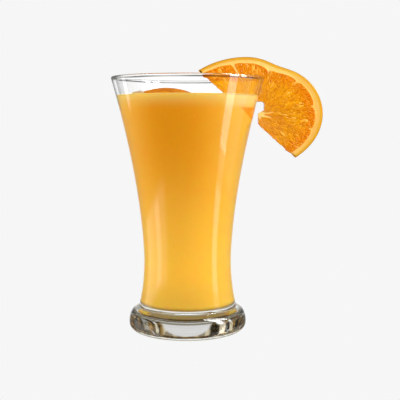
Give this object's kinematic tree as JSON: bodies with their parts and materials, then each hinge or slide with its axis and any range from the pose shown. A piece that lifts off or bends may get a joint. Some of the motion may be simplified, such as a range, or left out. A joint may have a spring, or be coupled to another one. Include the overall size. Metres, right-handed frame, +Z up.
{
  "type": "glass of orange juice",
  "caption": "Flared footed glass nearly full of orange juice, with a half slice of orange hung on its rim and a wedge of orange floating in it.",
  "frame": {"origin": "centre of the flat underside of the glass's foot", "axes": "+Z up along the glass's axis, +X towards the slice on the rim, -Y towards the side from which the slice's cut face and the dip of its inner end show as in the picture"},
  "size_m": [0.108, 0.0772, 0.1404],
  "materials": {
    "glass": "clear, polished",
    "juice": "cloudy orange juice",
    "orange_slice": "wet orange flesh with pale pith and a fine-pored peel",
    "orange_wedge": "fine-pored orange peel"
  },
  "bodies": {
    "root": {"glass": "glass", "juice": "juice", "orange_slice": "orange_slice", "orange_wedge": "orange_wedge"}
  },
  "joints": []
}
